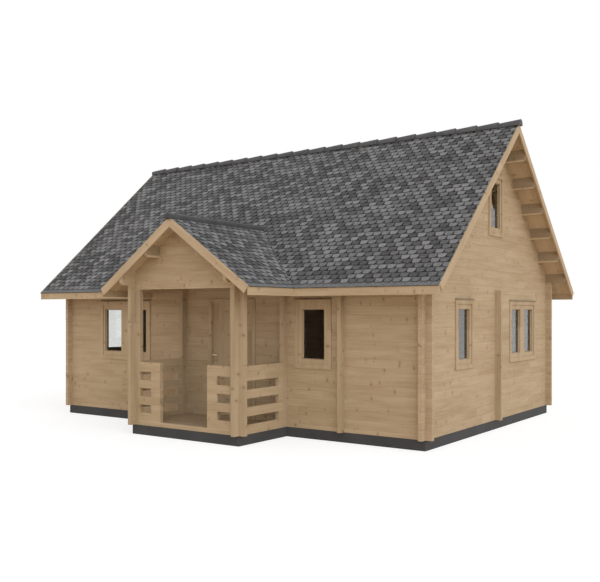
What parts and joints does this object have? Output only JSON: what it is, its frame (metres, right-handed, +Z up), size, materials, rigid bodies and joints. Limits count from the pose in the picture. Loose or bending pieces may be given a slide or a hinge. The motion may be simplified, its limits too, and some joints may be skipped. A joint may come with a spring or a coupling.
{
  "type": "wooden log house with a front porch",
  "caption": "One-storey log house with an attic: notched log corners, a steep shingled gable roof, a gabled front porch with log rails, and a front door that swings inward.",
  "frame": {"origin": "on the ground under the middle of the house's main rectangle, at the underside of the foundation", "axes": "+X along the ridge to the right seen from the front, -Y out of the front door, +Z up"},
  "size_m": [9.032, 7.689, 5.4732],
  "materials": {
    "concrete": "dark grey plinth",
    "log_wood": "planed spruce logs",
    "timber": "planed spruce",
    "board_wood": "planed spruce boards",
    "joinery_wood": "planed spruce joinery",
    "shingled_roof": "grey bitumen shingles on boards",
    "ridge_cover": "dark grey ridge cover",
    "window_glass": "clear glass",
    "handle_brass": "satin brass",
    "hinge_steel": "brushed steel"
  },
  "bodies": {
    "house": {"house_foundation": "concrete", "porch_foundation": "concrete", "front_wall_left": "log_wood", "front_wall_right": "log_wood", "front_wall_over_door": "log_wood", "back_wall": "log_wood", "left_gable_wall": "log_wood", "right_gable_wall": "log_wood", "cross_log_ends": "log_wood", "porch_posts": "log_wood", "porch_sill": "log_wood", "porch_front_rails": "log_wood", "porch_side_rails": "log_wood", "porch_side_beams": "log_wood", "porch_gable_wall": "log_wood", "attic_joists": "timber", "porch_purlins": "timber", "front_purlins": "timber", "back_purlins": "timber", "house_floor": "board_wood", "porch_floor": "board_wood", "attic_floor": "board_wood", "front_barge_boards": "board_wood", "back_barge_boards": "board_wood", "porch_barge_left": "board_wood", "porch_barge_right": "board_wood", "front_fascias": "board_wood", "back_fascia": "board_wood", "porch_side_fascias": "board_wood", "front_window_frames": "joinery_wood", "back_window_frames": "joinery_wood", "left_window_frames": "joinery_wood", "right_window_frames": "joinery_wood", "door_frame": "joinery_wood", "main_roof_front": "shingled_roof", "main_roof_back": "shingled_roof", "porch_roof_left": "shingled_roof", "porch_roof_right": "shingled_roof", "main_ridge_cap": "ridge_cover", "porch_ridge_cap": "ridge_cover", "window_glass": "window_glass", "door_hinge_pins": "hinge_steel"},
    "door": {"front_door": "joinery_wood", "door_handles": "handle_brass", "door_hinge_sleeves": "hinge_steel"}
  },
  "joints": [
    {"name": "door_swing", "type": "hinge", "parent": "house", "child": "door", "pos_m": [0.7675, -2.745, 1.252], "axis": [0, 0, -1], "range_deg": [0, 95]}
  ]
}
